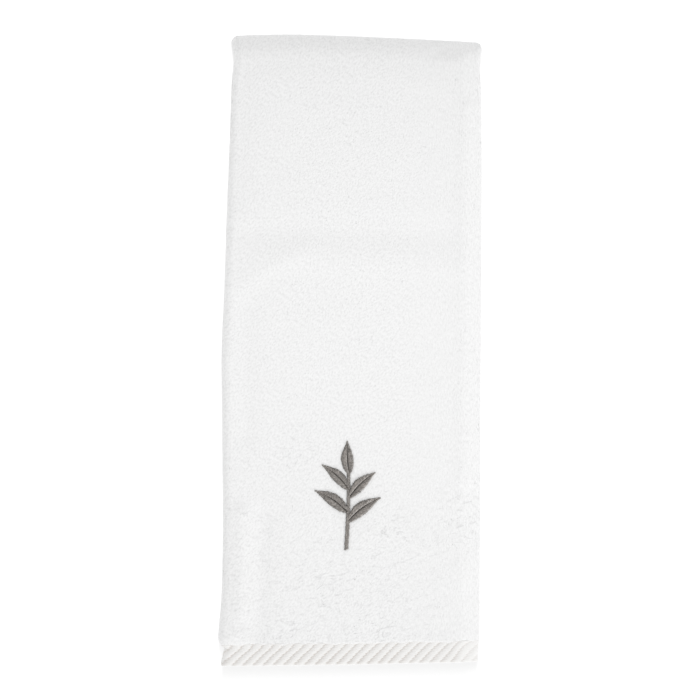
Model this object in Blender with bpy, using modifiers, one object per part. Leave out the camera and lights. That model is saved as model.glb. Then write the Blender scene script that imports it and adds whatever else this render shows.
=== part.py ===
"""A hand towel of sheared terry, folded in three lengthwise and then in half, lying face up.

The sheet is one surface. Its section runs from one side edge to the other: the right flap, the tight fold on
the right, the panel that faces out, the wide fold on the left that wraps round the first flap, and the left
flap. That section is carried up the front half, round the fold at the top and down the back half, which lies
on the surface. Metres; +X is the towel's right as it is looked at, +Y runs up to the top fold, and +Z is out
of the front.
"""

import math
from collections import namedtuple

import bmesh
import bpy
import numpy
from mathutils import Matrix, Vector

# The towel laid flat
TOWEL_WIDTH = 0.406
TOWEL_LENGTH = 0.711
TERRY_THICKNESS = 0.0025
BORDER_THICKNESS = 0.0018
BORDER_DEPTH = 0.012  # the flat-woven band at each end, hem included
PILE_STEP = 0.0015  # over which the pile rises to its full height beside a border
SELVEDGE_WIDTH = 0.006  # the plain strip without pile along each side edge

# How it is folded
FOLDED_WIDTH = 0.1435  # of the panel that faces out, averaged up its height
LAYERS = 3  # in each half
LAYER_PITCH = 0.0032  # from one layer's middle to the next
BORDER_PITCH = 0.0030  # the same between the borders, which are thinner
PITCH_REACH = 0.045  # how far up from an end the layers take to open to their full pitch
TOP_REACH_OUTER = 0.014  # how far the outermost layer's top fold reaches past its legs
TOP_REACH_INNER = 0.0017  # the same for the innermost layer
BACK_SHORTER = 0.004  # how much higher the back half ends, so the front covers it
FRONT_SLACK = 0.0010  # how far the front panel stands off the flap behind it, as room for its creases
PRESSED = 0.00005  # what lies lower than this is pressed level with the surface underneath
EDGE_SAG = 0.60  # share of the two missing layers by which the front sinks past the inner flaps, on the right

# Segments of the surface
PANEL_SEGMENTS = 14
FLAP_SEGMENTS = 6
SAG_SEGMENTS = 3
TIGHT_FOLD_SEGMENTS = 5
WIDE_FOLD_SEGMENTS = 7
TOP_FOLD_SEGMENTS = 10
FRONT_SEGMENTS = 28
BACK_SEGMENTS = 12

INNER = LAYERS - 1  # depth of the innermost layer of a half, counted in layers from its outermost one

# The outline of the folded towel: where its sides lie at each height above the lower end
Side = namedtuple("Side", "height left right")
SIDES = (
    Side(height=0.000, left=-0.0726, right=0.0721),
    Side(height=0.011, left=-0.0707, right=0.0725),
    Side(height=0.017, left=-0.0741, right=0.0729),
    Side(height=0.037, left=-0.0724, right=0.0730),
    Side(height=0.050, left=-0.0719, right=0.0730),
    Side(height=0.080, left=-0.0713, right=0.0731),
    Side(height=0.130, left=-0.0719, right=0.0733),
    Side(height=0.175, left=-0.0724, right=0.0736),
    Side(height=0.220, left=-0.0707, right=0.0739),
    Side(height=0.265, left=-0.0687, right=0.0741),
    Side(height=0.310, left=-0.0668, right=0.0737),
    Side(height=0.342, left=-0.0656, right=0.0733),
    Side(height=0.351, left=-0.0668, right=0.0742),
)

# How far the lower end and the top fold lie above their level lines, from left to right
End = namedtuple("End", "across lower top")
ENDS = (
    End(across=-0.073, lower=0.0000, top=-0.0010),
    End(across=-0.050, lower=0.0003, top=0.0000),
    End(across=-0.020, lower=0.0007, top=0.0000),
    End(across=0.006, lower=0.0011, top=-0.0011),
    End(across=0.030, lower=0.0016, top=-0.0023),
    End(across=0.051, lower=0.0020, top=-0.0034),
    End(across=0.068, lower=0.0023, top=-0.0043),
    End(across=0.075, lower=0.0024, top=-0.0052),
)

# The soft creases of the front panel: a line from start to end, its half width, and how far it rises or sinks
Crease = namedtuple("Crease", "start end width rise")
CREASES = (
    Crease(start=(-0.062, 0.344), end=(-0.062, 0.290), width=0.005, rise=-0.0005),
    Crease(start=(-0.062, 0.243), end=(0.051, 0.245), width=0.007, rise=-0.0007),
    Crease(start=(-0.065, 0.213), end=(-0.028, 0.233), width=0.006, rise=0.0006),
    Crease(start=(-0.052, 0.196), end=(-0.052, 0.156), width=0.006, rise=-0.0006),
    Crease(start=(-0.057, 0.070), end=(-0.055, 0.020), width=0.005, rise=0.0007),
    Crease(start=(-0.047, 0.070), end=(-0.047, 0.025), width=0.005, rise=-0.0006),
    Crease(start=(0.061, 0.321), end=(0.061, 0.240), width=0.005, rise=-0.0005),
    Crease(start=(0.049, 0.327), end=(0.049, 0.290), width=0.007, rise=0.0006),
)

# Worked out from the sizes above
BASE = TERRY_THICKNESS / 2  # height of the lowest layer's middle
MIDDLE = BASE + (LAYERS - 0.5) * LAYER_PITCH  # height of the gap between the two halves
TIGHT_RADIUS = LAYER_PITCH / 2
WIDE_RADIUS = INNER * LAYER_PITCH / 2
PANEL_WIDTH = FOLDED_WIDTH - TERRY_THICKNESS - TIGHT_RADIUS - WIDE_RADIUS  # straight stretch, facing out
FLAP_WIDTH = (TOWEL_WIDTH - PANEL_WIDTH - math.pi * (TIGHT_RADIUS + WIDE_RADIUS)) / 2
PANEL_LEFT = -FOLDED_WIDTH / 2 + TERRY_THICKNESS / 2 + WIDE_RADIUS
PANEL_RIGHT = FOLDED_WIDTH / 2 - TERRY_THICKNESS / 2 - TIGHT_RADIUS
INNER_EDGE = PANEL_LEFT + FLAP_WIDTH  # where the innermost flap ends, short of the fold on the right


def top_drop(depth):
    """Half height of the top fold's arc for a layer this deep in the stack."""
    return (LAYERS - 0.5 - depth) * LAYER_PITCH


def top_reach(depth):
    """How far past the legs the top fold reaches for a layer this deep in the stack."""
    return TOP_REACH_OUTER + (TOP_REACH_INNER - TOP_REACH_OUTER) * depth / INNER


TOP_FOLD_LENGTH = math.pi * math.hypot(top_drop(0), top_reach(0)) / math.sqrt(2)  # half way round an ellipse
LEG_LENGTH = (TOWEL_LENGTH - TOP_FOLD_LENGTH + BACK_SHORTER) / 2  # of the front half, below its top fold
HEIGHT = LEG_LENGTH + TOP_REACH_OUTER + TERRY_THICKNESS / 2


def ease(share):
    """A smooth step from 0 to 1."""
    share = min(max(share, 0.0), 1.0)
    return share * share * (3 - 2 * share)


def even(start, end, segments):
    """Evenly spaced places after start, up to and with end."""
    return [start + (end - start) * step / segments for step in range(1, segments + 1)]


# A place in the section: where it is across, how many layers deep, and how far from the nearest side edge
Place = namedtuple("Place", "x depth from_side")

# A station along the towel: height up a leg, turn round the top fold, and distance from the nearest end
Station = namedtuple("Station", "height turn from_end")


def section():
    """The places of the section, from side edge to side edge."""
    tight_edge = PANEL_RIGHT - FLAP_WIDTH
    flap = [tight_edge, tight_edge + SELVEDGE_WIDTH]
    flap += even(tight_edge + SELVEDGE_WIDTH, INNER_EDGE, FLAP_SEGMENTS)
    flap += even(INNER_EDGE, PANEL_RIGHT, SAG_SEGMENTS)
    places = [Place(x, 1.0, x - tight_edge) for x in flap]
    for turn in even(0, math.pi, TIGHT_FOLD_SEGMENTS):
        depth = (1 + math.cos(turn)) / 2
        places.append(Place(PANEL_RIGHT + TIGHT_RADIUS * math.sin(turn), depth, FLAP_WIDTH))
    panel = even(PANEL_RIGHT, INNER_EDGE, SAG_SEGMENTS) + even(INNER_EDGE, PANEL_LEFT, PANEL_SEGMENTS)
    places += [Place(x, 0.0, FLAP_WIDTH) for x in panel]
    for turn in even(0, math.pi, WIDE_FOLD_SEGMENTS):
        depth = INNER * (1 - math.cos(turn)) / 2
        places.append(Place(PANEL_LEFT - WIDE_RADIUS * math.sin(turn), depth, FLAP_WIDTH))
    flap = even(PANEL_LEFT, INNER_EDGE - SELVEDGE_WIDTH, FLAP_SEGMENTS) + [INNER_EDGE]
    places += [Place(x, INNER, INNER_EDGE - x) for x in flap]
    return places


def leg(end, segments):
    """Heights from a hemmed end to the top fold, closer together at the border."""
    border_top = end + BORDER_DEPTH
    pile_top = border_top + PILE_STEP
    return [end, end + BORDER_DEPTH / 2, border_top, pile_top] + even(pile_top, LEG_LENGTH, segments - 3)


def lengthwise():
    """The stations along the towel, from the front half's end over the top fold to the back half's end."""
    stations = [Station(height, 0.0, height) for height in leg(0.0, FRONT_SEGMENTS)]
    stations += [Station(LEG_LENGTH, turn, LEG_LENGTH) for turn in even(0, math.pi, TOP_FOLD_SEGMENTS)]
    back = leg(BACK_SHORTER, BACK_SEGMENTS)
    stations += [Station(height, math.pi, height - BACK_SHORTER) for height in reversed(back[:-1])]
    return stations


def crease_rise(x, height):
    """How far the soft creases lift the front at this place."""
    rise = 0.0
    for crease in CREASES:
        start = Vector(crease.start)
        run = Vector(crease.end) - start
        place = Vector((x, height))
        share = min(max((place - start).dot(run) / run.length_squared, 0.0), 1.0)
        away = (place - start - run * share).length
        rise += crease.rise * math.exp(-((away / crease.width) ** 2))
    return rise


def sag(x, depth):
    """How far the outer two layers sink on the right, where the inner flaps stop short of the fold."""
    if depth > 1:
        return 0.0
    return EDGE_SAG * 2 * LAYER_PITCH * ease((x - INNER_EDGE) / (FOLDED_WIDTH / 2 - INNER_EDGE))


def outline(x, y):
    """Moves a place of the plain folded towel sideways and up or down, to the real one's outline."""
    heights = [row.height for row in SIDES]
    left = numpy.interp(y, heights, [row.left for row in SIDES])
    right = numpy.interp(y, heights, [row.right for row in SIDES])
    moved_x = left + (right - left) * (x / FOLDED_WIDTH + 0.5)
    places = [row.across for row in ENDS]
    lower = numpy.interp(moved_x, places, [row.lower for row in ENDS])
    top = numpy.interp(moved_x, places, [row.top for row in ENDS])
    return moved_x, y + lower + (top - lower) * y / HEIGHT


def fold(place, station):
    """Where a point of the sheet lies in the folded towel."""
    depth = place.depth
    height = station.height
    turn = station.turn
    pitch = BORDER_PITCH + (LAYER_PITCH - BORDER_PITCH) * ease((height - BORDER_DEPTH) / PITCH_REACH)
    front = (1 + math.cos(turn)) / 2
    y = height + top_reach(depth) * math.sin(turn)
    z = MIDDLE + top_drop(depth) * math.cos(turn)
    if turn == 0.0:
        z = BASE + (2 * LAYERS - 1 - depth) * pitch
    elif turn == math.pi:
        z = BASE + depth * pitch
    if depth < 1:
        near_top = ease((HEIGHT - y) / (2 * TOP_REACH_OUTER))
        z += front * near_top * (1 - depth) * max(FRONT_SLACK + crease_rise(place.x, height), 0.0)
    z -= front * sag(place.x, depth)
    return Vector((*outline(place.x, y), z))


def thickness_share(place, station):
    """Thickness of the cloth here, as a share of the full pile's: less at the borders and the side edges."""
    thin = BORDER_THICKNESS / TERRY_THICKNESS
    past_selvedge = ease(place.from_side / SELVEDGE_WIDTH)
    past_border = ease((station.from_end - BORDER_DEPTH) / PILE_STEP)
    return thin + (1 - thin) * min(past_selvedge, past_border)


def terry_material():
    """White cotton terry."""
    material = bpy.data.materials.new("terry")
    material.use_nodes = True
    shader = material.node_tree.nodes["Principled BSDF"]
    shader.inputs["Base Color"].default_value = (0.89, 0.89, 0.89, 1.0)
    shader.inputs["Roughness"].default_value = 1.0
    shader.inputs["Metallic"].default_value = 0.0
    return material


def folded_sheet():
    """The sheet as a surface through the middle of the cloth, with its thickness as a vertex group."""
    places = section()
    stations = lengthwise()
    sheet = bmesh.new()
    bmesh.ops.create_grid(sheet, x_segments=len(places) - 1, y_segments=len(stations) - 1, size=1.0)
    thickness = sheet.verts.layers.deform.verify()
    for vertex in sheet.verts:
        place = places[round((vertex.co.x + 1) / 2 * (len(places) - 1))]
        station = stations[round((vertex.co.y + 1) / 2 * (len(stations) - 1))]
        vertex[thickness][0] = thickness_share(place, station)
        vertex.co = fold(place, station)
    mesh = bpy.data.meshes.new("towel")
    sheet.to_mesh(mesh)
    sheet.free()
    return mesh


def make_towel(collection):
    """The towel: the folded sheet with its real thickness."""
    towel = bpy.data.objects.new("towel", folded_sheet())
    collection.objects.link(towel)
    towel.vertex_groups.new(name="thickness")
    towel.data.materials.append(terry_material())
    towel.data.shade_smooth()
    solid = towel.modifiers.new("thickness", "SOLIDIFY")
    solid.thickness = TERRY_THICKNESS
    solid.offset = 0.0
    solid.use_even_offset = True
    solid.vertex_group = "thickness"
    return towel


def lay_flat(towel):
    """Makes the thickness real, with the origin mid-way under the towel, and presses the underside level."""
    evaluated = towel.evaluated_get(bpy.context.evaluated_depsgraph_get())
    cloth = bpy.data.meshes.new_from_object(evaluated)
    towel.modifiers.clear()
    towel.data = cloth
    xs, ys, zs = zip(*(vertex.co for vertex in cloth.vertices))
    cloth.transform(Matrix.Translation((-(min(xs) + max(xs)) / 2, -(min(ys) + max(ys)) / 2, -min(zs))))
    for vertex in cloth.vertices:
        if vertex.co.z < PRESSED:
            vertex.co.z = 0.0


for leftover in list(bpy.data.objects):
    bpy.data.objects.remove(leftover)
parts = bpy.data.collections.new("hand_towel")
bpy.context.scene.collection.children.link(parts)
lay_flat(make_towel(parts))
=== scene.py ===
"""A hand towel of sheared white terry, folded in three lengthwise and then in half, lying face up.

Metres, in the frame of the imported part: +X is the towel's right as it is looked at, +Y runs up to the fold at
the top, and +Z is out of the front.
"""

import math
from collections import namedtuple

import bpy
import numpy
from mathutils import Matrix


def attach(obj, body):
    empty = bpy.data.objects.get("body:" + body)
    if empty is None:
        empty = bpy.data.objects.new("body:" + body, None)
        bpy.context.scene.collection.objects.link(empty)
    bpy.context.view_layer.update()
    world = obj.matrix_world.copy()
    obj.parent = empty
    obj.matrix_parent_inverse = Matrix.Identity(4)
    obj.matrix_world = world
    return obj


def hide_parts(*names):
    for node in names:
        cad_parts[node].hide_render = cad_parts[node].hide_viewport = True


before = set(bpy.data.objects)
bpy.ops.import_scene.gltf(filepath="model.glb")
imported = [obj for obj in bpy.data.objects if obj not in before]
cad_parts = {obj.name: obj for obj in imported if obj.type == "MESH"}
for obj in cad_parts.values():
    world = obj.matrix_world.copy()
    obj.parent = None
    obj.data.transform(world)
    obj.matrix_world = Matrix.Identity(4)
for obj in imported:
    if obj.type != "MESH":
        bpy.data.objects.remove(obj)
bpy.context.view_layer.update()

bpy.ops.object.select_all(action="DESELECT")

# ---- The terry cloth ----
# The towel is one sheet of white cotton terry, sheared short on the face. Its right third is folded under in
# a tight fold, its left third wraps round that in a wide one, and the whole is folded in half at the top. It
# lies on its back half. Each end is a flat-woven border, and the terry runs a little way into it.

# The towel laid flat
TOWEL_WIDTH = 0.406
TOWEL_LENGTH = 0.711
TERRY_THICKNESS = 0.0025
BORDER_THICKNESS = 0.0018
BORDER_DEPTH = 0.012
TUCK = 0.0016  # how far the terry runs into the border
TUCKED_THICKNESS = 0.0010
PILE_STEP = 0.0009  # over which the pile rises to its full height beside a border
PILE_START = 0.0001  # how far inside the border's end it begins to rise
PILE_WANDER = 0.0006  # and how much that varies along the border
SELVEDGE_WIDTH = 0.006

# How it is folded
FOLDED_WIDTH = 0.1435
LAYERS = 3
LAYER_PITCH = 0.0032
BORDER_PITCH = 0.0030
PITCH_REACH = 0.045
TOP_PITCH = 0.0030  # where the top fold presses the layers together
TOP_PITCH_REACH = 0.018
INNER_SHORTER = 0.0012  # how far the folded-in thirds stop short of the front's lower end
INNER_SHORTER_REACH = 0.06
TOP_REACH_OUTER = 0.014
TOP_REACH_INNER = 0.0017
BACK_SHORTER = 0.004
FRONT_SLACK = 0.0010
EDGE_SAG = 0.60
# The dent across the top fold beside its right corner
DENT_X = 0.0570
DENT_HEIGHT = 0.3522
DENT_SLANT = 0.35  # how steeply it rises to the right
DENT_WIDE = 0.0110
DENT_TALL = 0.0050
DENT_DEPTH = 0.0025
DENT_FADE = 0.25  # how much less each layer under the first is dented
INNER = LAYERS - 1

# Worked out from the sizes above
BASE = TERRY_THICKNESS / 2
TIGHT_RADIUS = LAYER_PITCH / 2
WIDE_RADIUS = INNER * LAYER_PITCH / 2
PANEL_WIDTH = FOLDED_WIDTH - TERRY_THICKNESS - TIGHT_RADIUS - WIDE_RADIUS
FLAP_WIDTH = (TOWEL_WIDTH - PANEL_WIDTH - math.pi * (TIGHT_RADIUS + WIDE_RADIUS)) / 2
PANEL_LEFT = -FOLDED_WIDTH / 2 + TERRY_THICKNESS / 2 + WIDE_RADIUS
PANEL_RIGHT = FOLDED_WIDTH / 2 - TERRY_THICKNESS / 2 - TIGHT_RADIUS
INNER_EDGE = PANEL_LEFT + FLAP_WIDTH
TOP_HALF_HEIGHT = (LAYERS - 0.5) * LAYER_PITCH
TOP_FOLD_LENGTH = math.pi * math.hypot(TOP_HALF_HEIGHT, TOP_REACH_OUTER) / math.sqrt(2)
LEG_LENGTH = (TOWEL_LENGTH - TOP_FOLD_LENGTH + BACK_SHORTER) / 2
HEIGHT = LEG_LENGTH + TOP_REACH_OUTER + TERRY_THICKNESS / 2

# Distances across the flat towel, from the right flap's side edge, at which the folds begin and end
TIGHT_START = FLAP_WIDTH
TIGHT_END = TIGHT_START + math.pi * TIGHT_RADIUS
WIDE_START = TIGHT_END + PANEL_WIDTH
WIDE_END = WIDE_START + math.pi * WIDE_RADIUS

# The folded towel's outline: where its sides lie at each height above the lower end
Side = namedtuple("Side", "height left right")
SIDES = [Side(*row) for row in (
    (0.0000, -0.0724, 0.0724),
    (0.0060, -0.0714, 0.0727),
    (0.0110, -0.0708, 0.0730),
    (0.0122, -0.0722, 0.0731),
    (0.0143, -0.0731, 0.0732),
    (0.0166, -0.0735, 0.0733),
    (0.0200, -0.0733, 0.0733),
    (0.0370, -0.0718, 0.0734),
    (0.0500, -0.0713, 0.0734),
    (0.0800, -0.0707, 0.0735),
    (0.1300, -0.0711, 0.0737),
    (0.1750, -0.0715, 0.0740),
    (0.2200, -0.0699, 0.0743),
    (0.2650, -0.0682, 0.0745),
    (0.3100, -0.0664, 0.0744),
    (0.3300, -0.0658, 0.0740),
    (0.3420, -0.0650, 0.0737),
    (0.3510, -0.0669, 0.0749),
)]

# How far the lower end and the top fold lie above their level lines, from left to right
End = namedtuple("End", "across lower top")
ENDS = [End(*row) for row in (
    (-0.073, 0.00025, -0.0005),
    (-0.050, 0.00055, 0.0005),
    (-0.020, 0.00095, 0.0005),
    (0.006, 0.00135, -0.0004),
    (0.030, 0.00185, -0.0015),
    (0.051, 0.00225, -0.0026),
    (0.068, 0.00255, -0.0034),
    (0.075, 0.00265, -0.0040),
)]

# The soft creases of the front panel: a line from start to end, its half width, and how far it rises or sinks
Crease = namedtuple("Crease", "start end width rise")
CREASES = [Crease(*row) for row in (
    ((-0.066, 0.335), (-0.068, 0.262), 0.007, -0.0008),
    ((-0.062, 0.243), (0.051, 0.245), 0.008, -0.0005),
    ((-0.050, 0.229), (0.055, 0.227), 0.010, 0.0006),
    ((-0.065, 0.213), (-0.028, 0.233), 0.006, 0.0005),
    ((-0.0585, 0.200), (-0.0585, 0.130), 0.006, -0.0008),
    ((-0.0615, 0.085), (-0.0615, 0.018), 0.0055, 0.0016),
    ((-0.0500, 0.085), (-0.0500, 0.020), 0.0055, -0.0010),
    ((0.0640, 0.316), (0.0645, 0.105), 0.0055, 0.0011),
)]


def ease(share):
    """A smooth step from 0 to 1."""
    share = numpy.clip(share, 0.0, 1.0)
    return share * share * (3 - 2 * share)


def through(places, at, values):
    """A smooth line through the values, which are at increasing places."""
    at = numpy.asarray(at)
    values = numpy.asarray(values)
    slopes = numpy.gradient(values, at)
    places = numpy.clip(places, at[0], at[-1])
    low = numpy.clip(numpy.searchsorted(at, places, side="right") - 1, 0, len(at) - 2)
    step = at[low + 1] - at[low]
    share = (places - at[low]) / step
    rise = values[low + 1] - values[low]
    curve = share * (1 - share) * (
        slopes[low] * step * (1 - share) - slopes[low + 1] * step * share + rise * (2 * share - 1)
    )
    return values[low] + rise * share + curve


def place_across(across):
    """x in the folded towel, and how many layers deep, at a distance from the right flap's side edge."""
    tight = numpy.clip((across - TIGHT_START) / TIGHT_RADIUS, 0, math.pi)
    wide = numpy.clip((across - WIDE_START) / WIDE_RADIUS, 0, math.pi)
    x = PANEL_RIGHT - FLAP_WIDTH + numpy.minimum(across, TIGHT_START)
    x = x - numpy.clip(across - TIGHT_END, 0, PANEL_WIDTH) + numpy.maximum(across - WIDE_END, 0)
    x = x + TIGHT_RADIUS * numpy.sin(tight) - WIDE_RADIUS * numpy.sin(wide)
    return x, (1 + numpy.cos(tight)) / 2 + INNER * (1 - numpy.cos(wide)) / 2


def place_along(along):
    """Height above the lower end, and the turn round the top fold, at a distance from the front's end."""
    turn = math.pi * numpy.clip((along - LEG_LENGTH) / TOP_FOLD_LENGTH, 0, 1)
    height = numpy.minimum(along, LEG_LENGTH) - numpy.maximum(along - LEG_LENGTH - TOP_FOLD_LENGTH, 0)
    return height, turn


def crease_rise(x, height):
    """How far the soft creases lift the front at a place."""
    rise = 0.0
    for crease in CREASES:
        start = numpy.array(crease.start)
        run = numpy.array(crease.end) - start
        share = numpy.clip(((x - start[0]) * run[0] + (height - start[1]) * run[1]) / (run @ run), 0, 1)
        away = numpy.hypot(x - start[0] - run[0] * share, height - start[1] - run[1] * share)
        rise = rise + crease.rise * numpy.exp(-((away / crease.width) ** 2))
    return rise


def outline(x, y):
    """Moves places of the plain folded towel sideways and up or down, to the real one's outline."""
    heights = [row.height for row in SIDES]
    left = through(y, heights, [row.left for row in SIDES])
    right = through(y, heights, [row.right for row in SIDES])
    x = left + (right - left) * (x / FOLDED_WIDTH + 0.5)
    places = [row.across for row in ENDS]
    lower = through(x, places, [row.lower for row in ENDS])
    top = through(x, places, [row.top for row in ENDS])
    return x, y + lower + (top - lower) * y / HEIGHT


def folded(across, along):
    """Where points of the flat sheet's middle lie in the folded towel."""
    x, depth = place_across(across)
    height, turn = place_along(along)
    pitch = BORDER_PITCH + (LAYER_PITCH - BORDER_PITCH) * ease((height - BORDER_DEPTH) / PITCH_REACH)
    pitch = pitch - (LAYER_PITCH - TOP_PITCH) * numpy.exp((height - LEG_LENGTH) / TOP_PITCH_REACH)
    reach = TOP_REACH_OUTER + (TOP_REACH_INNER - TOP_REACH_OUTER) * depth / INNER
    front = (1 + numpy.cos(turn)) / 2
    y = height + reach * numpy.sin(turn)
    past = numpy.clip(numpy.where(across < TIGHT_END, 2 * depth, depth) - 1, 0, 1)
    y = y + INNER_SHORTER * front * past * (1 - ease(height / INNER_SHORTER_REACH))
    z = BASE + pitch * (LAYERS - 0.5 + (LAYERS - 0.5 - depth) * numpy.cos(turn))
    room = ease((HEIGHT - y) / (2 * TOP_REACH_OUTER)) * numpy.clip(1 - depth, 0, 1)
    z = z + front * room * numpy.maximum(FRONT_SLACK + crease_rise(x, height), 0)
    above = y - DENT_HEIGHT - DENT_SLANT * (x - DENT_X)
    dent = numpy.exp(-(((x - DENT_X) / DENT_WIDE) ** 2) - (above / DENT_TALL) ** 2)
    z = z - front * DENT_DEPTH * dent * (1 - DENT_FADE * depth)
    z = z - front * EDGE_SAG * 2 * LAYER_PITCH * ease((x - INNER_EDGE) / (FOLDED_WIDTH / 2 - INNER_EDGE))
    x, y = outline(x, y)
    return numpy.stack([x, y, z], axis=-1)


def unit(vectors):
    """Vectors of length 1."""
    return vectors / numpy.linalg.norm(vectors, axis=-1, keepdims=True)


def lie_of_cloth(across, along):
    """Unit vectors along the cloth to the panel's right, up its length, and out of its face."""
    reach = 0.0002
    right = unit(folded(across - reach, along) - folded(across + reach, along))
    up = unit(folded(across, along + reach) - folded(across, along - reach))
    return right, up, unit(numpy.cross(right, up))


# A soft random pattern: how wide and tall its patches are, its seed, and their turn from upright in degrees
Pattern = namedtuple("Pattern", "wide tall seed turn", defaults=[0])
DRAWS = 512  # each way, after which a pattern repeats


def patches(x, height, pattern):
    """Smooth random values from -1 to 1, in a pattern."""
    values = numpy.random.default_rng(pattern.seed).uniform(-1, 1, (DRAWS, DRAWS))
    turn = math.radians(pattern.turn)
    u = (x * math.cos(turn) + height * math.sin(turn)) / pattern.wide
    v = (height * math.cos(turn) - x * math.sin(turn)) / pattern.tall
    column = numpy.floor(u).astype(int)
    row = numpy.floor(v).astype(int)
    u = ease(u - column)
    v = ease(v - row)
    lower = values[row % DRAWS, column % DRAWS] * (1 - u) + values[row % DRAWS, (column + 1) % DRAWS] * u
    row = row + 1
    upper = values[row % DRAWS, column % DRAWS] * (1 - u) + values[row % DRAWS, (column + 1) % DRAWS] * u
    return lower * (1 - v) + upper * v


# Where the pile is ruffled and parted: middle on the panel, and the reach of the patch
Ruffle = namedtuple("Ruffle", "x height reach")
RUFFLES = [Ruffle(*row) for row in (
    (-0.036, 0.019, 0.014),
    (0.014, 0.020, 0.022),
    (0.064, 0.082, 0.018),
    (0.022, 0.075, 0.016),
    (-0.030, 0.120, 0.012),
    (0.040, 0.291, 0.005),
    (-0.010, 0.045, 0.020),
)]


def ruffled(x, height):
    """How ruffled the pile is at a place, from 0 to 1."""
    most = 0.0
    for ruffle in RUFFLES:
        away = ((x - ruffle.x) ** 2 + (height - ruffle.height) ** 2) / ruffle.reach**2
        most = numpy.maximum(most, numpy.exp(-away))
    return most


# The stitched sprig's place on the panel, and its leaves: where each leaves the stem, its heading in degrees
# from straight up, its length, its width, and how far its middle bends to its left
SPRIG_X = -0.0018
SPRIG_FOOT = 0.0652  # height of the stem's foot
SPRIG_HEIGHT = 0.0610
Leaf = namedtuple("Leaf", "x height turn length width bend")
LEAVES = [Leaf(*row) for row in (
    (0.0006, 0.0420, -3, 0.0190, 0.0068, 0.0006),
    (0.0004, 0.0335, -47, 0.0205, 0.0064, -0.0012),
    (0.0004, 0.0290, 46, 0.0205, 0.0064, 0.0012),
    (-0.0002, 0.0205, -56, 0.0225, 0.0069, -0.0015),
    (-0.0004, 0.0155, 54, 0.0230, 0.0071, 0.0015),
)]
STEM_WIDTH = 0.0019
STEM_TOP = LEAVES[0].height + 0.003
SPRIG_MARGIN = 0.0012  # over which the pile sinks inside the sprig's edge
SPRIG_PRESSED = 0.0007  # how far it is pressed down under the stitches


def stem_x(height):
    """How far the sprig's stem lies to the right of its foot at a height above the foot."""
    return 0.0012 * numpy.sin(height / SPRIG_HEIGHT * 2.6) - 0.0010


def half_leaf(share):
    """Half the width of a leaf as a share of its width, at a share of its length."""
    share = numpy.clip(share, 0, 1)
    return 0.5 * numpy.sin(math.pi * share**0.82) ** (0.75 + 0.45 * share)


def in_sprig(x, height, margin):
    """How far inside the stitched sprig a place is, from 0 outside to 1 past the margin."""
    inside = numpy.zeros_like(x)
    u = x - SPRIG_X
    v = height - SPRIG_FOOT
    for leaf in LEAVES:
        turn = math.radians(leaf.turn)
        du = u - leaf.x
        dv = v - leaf.height
        along = du * math.sin(turn) + dv * math.cos(turn)
        aside = du * math.cos(turn) - dv * math.sin(turn)
        share = along / leaf.length
        aside = aside + leaf.bend * 4 * share * (1 - share)
        depth = leaf.width * half_leaf(share) - numpy.abs(aside)
        inside = numpy.maximum(inside, numpy.where((share > 0) & (share < 1), depth / margin, 0))
    on_stem = (v > 0) & (v < STEM_TOP + 0.001)
    inside = numpy.maximum(inside, on_stem * (STEM_WIDTH / 2 - numpy.abs(u - stem_x(v))) / margin)
    return numpy.clip(inside, 0, 1)


# How the pile's height varies over the front, and where: below LOW_TOP it is more uneven
LOW_TOP = 0.110
LOW_REACH = 0.050
ROWS_START = 0.020  # right of this the pile lies in rows
ROWS_REACH = 0.030
ROWS = Pattern(wide=0.0014, tall=0.0070, seed=7)
ROWS_RISE = 0.00005
SOFT = Pattern(wide=0.0060, tall=0.0090, seed=11, turn=-35)
SOFT_RISE = 0.00006
BROAD = Pattern(wide=0.0210, tall=0.0260, seed=13)
BROAD_RISE = 0.00012
RUFFLED = Pattern(wide=0.003, tall=0.004, seed=23, turn=40)
RUFFLED_RISE = 0.00010
PARTING = Pattern(wide=0.0050, tall=0.0060, seed=17, turn=15)
PARTING_PLACES = Pattern(wide=0.0045, tall=0.0045, seed=19)
PARTING_WIDTH = 0.09  # the pile is parted where its pattern is within about this of 0
PARTING_DEPTH = 0.00035
PILE_EDGE = Pattern(wide=0.0036, tall=1.0, seed=83)


def parted(x, height):
    """How much the pile is parted at a place, from 0 to 1: short curved cracks between its locks."""
    here = ease(2 * patches(x, height, PARTING_PLACES)) * ruffled(x, height)
    return numpy.exp(-((patches(x, height, PARTING) / PARTING_WIDTH) ** 2)) * here


def relief(across, along):
    """How far the pile stands above or below its usual height."""
    x, depth = place_across(across)
    height, turn = place_along(along)
    x = numpy.where(depth < 0.5, x, across)
    height = numpy.where(turn < 1.6, height, along)
    low = 1 + ease((LOW_TOP - height) / LOW_REACH)
    rows = patches(x, height, ROWS) * ease((x - ROWS_START) / ROWS_REACH)
    rise = ROWS_RISE * rows + SOFT_RISE * low * patches(x, height, SOFT)
    rise = rise + BROAD_RISE * low * patches(x, height, BROAD) - PARTING_DEPTH * parted(x, height)
    rise = rise + RUFFLED_RISE * ruffled(x, height) * patches(x, height, RUFFLED)
    stitched = numpy.where((depth < 0.01) & (turn == 0), in_sprig(x, height, SPRIG_MARGIN), 0)
    return rise * (1 - stitched) - SPRIG_PRESSED * stitched


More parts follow.
